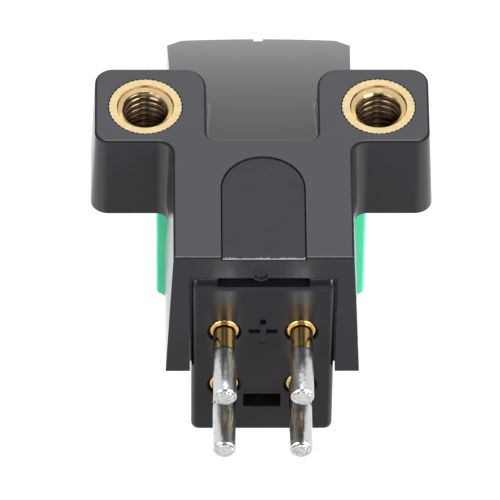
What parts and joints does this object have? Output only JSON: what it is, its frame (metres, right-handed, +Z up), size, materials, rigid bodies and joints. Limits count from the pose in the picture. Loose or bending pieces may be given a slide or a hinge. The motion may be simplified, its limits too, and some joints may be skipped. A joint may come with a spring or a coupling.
{
  "type": "turntable stylus cartridge",
  "caption": "Turntable pickup cartridge with threaded mounting ears, curved hood, rear terminal pins and a green pull-off stylus holder with a sprung cantilever.",
  "frame": {"origin": "middle between the two mounting holes, on the top face", "axes": "+X to the right seen from the pins, +Y forward along the hood, +Z up out of the top face"},
  "size_m": [0.0188, 0.0286, 0.0172],
  "materials": {
    "body_plastic": "black, satin moulding",
    "plate_plastic": "black, fine matt",
    "block_plastic": "black, half gloss",
    "holder_plastic": "mint green, smooth moulding",
    "insert_brass": "turned and knurled",
    "sleeve_brass": "drawn",
    "pin_gold": "gold plated, outer end bright tinned",
    "copper_wire": "enamelled copper wire",
    "core_steel": "laminated sheet",
    "shield_metal": "bright rolled sheet",
    "steel_wire": "drawn",
    "aluminium": "drawn, bright",
    "damper_rubber": "soft, matt",
    "magnet": "sintered, dark",
    "bobbin_plastic": "natural nylon",
    "diamond": "clear, polished"
  },
  "bodies": {
    "cartridge": {"body_shell": "body_plastic", "name_plate": "plate_plastic", "insert_left": "insert_brass", "insert_right": "insert_brass", "terminal_block": "block_plastic", "shield_plate": "shield_metal", "yoke_left": "core_steel", "yoke_right": "core_steel", "pin_upper_left": "pin_gold", "pole_upper_left": "core_steel", "bobbin_upper_left": "bobbin_plastic", "winding_upper_left": "copper_wire", "pin_upper_right": "pin_gold", "pole_upper_right": "core_steel", "bobbin_upper_right": "bobbin_plastic", "winding_upper_right": "copper_wire", "pin_lower_left": "pin_gold", "pole_lower_left": "core_steel", "bobbin_lower_left": "bobbin_plastic", "winding_lower_left": "copper_wire", "pin_lower_right": "pin_gold", "pole_lower_right": "core_steel", "bobbin_lower_right": "bobbin_plastic", "winding_lower_right": "copper_wire"},
    "stylus_unit": {"stylus_holder": "holder_plastic", "plug_tube": "aluminium", "support_sleeve": "sleeve_brass", "suspension_wire": "steel_wire"},
    "damper_pivot": {"damper": "damper_rubber"},
    "cantilever_unit": {"magnet_carrier": "aluminium", "magnet_left": "magnet", "magnet_right": "magnet", "cantilever": "aluminium", "stylus_shank": "steel_wire", "diamond_tip": "diamond"}
  },
  "joints": [
    {"name": "stylus_pull", "type": "slide", "parent": "cartridge", "child": "stylus_unit", "axis": [0, 0.9135, -0.4067], "range_m": [0, 0.016]},
    {"name": "cantilever_lift", "type": "hinge", "parent": "stylus_unit", "child": "damper_pivot", "pos_m": [0, 0.00219, -0.01333], "axis": [1, 0, 0], "range_deg": [-1.5, 4], "stiffness_Nm_per_rad": 0.0027},
    {"name": "cantilever_swing", "type": "hinge", "parent": "damper_pivot", "child": "cantilever_unit", "pos_m": [0, 0.00219, -0.01333], "axis": [0, 0.4067, 0.9135], "range_deg": [-3, 3], "stiffness_Nm_per_rad": 0.0027}
  ]
}
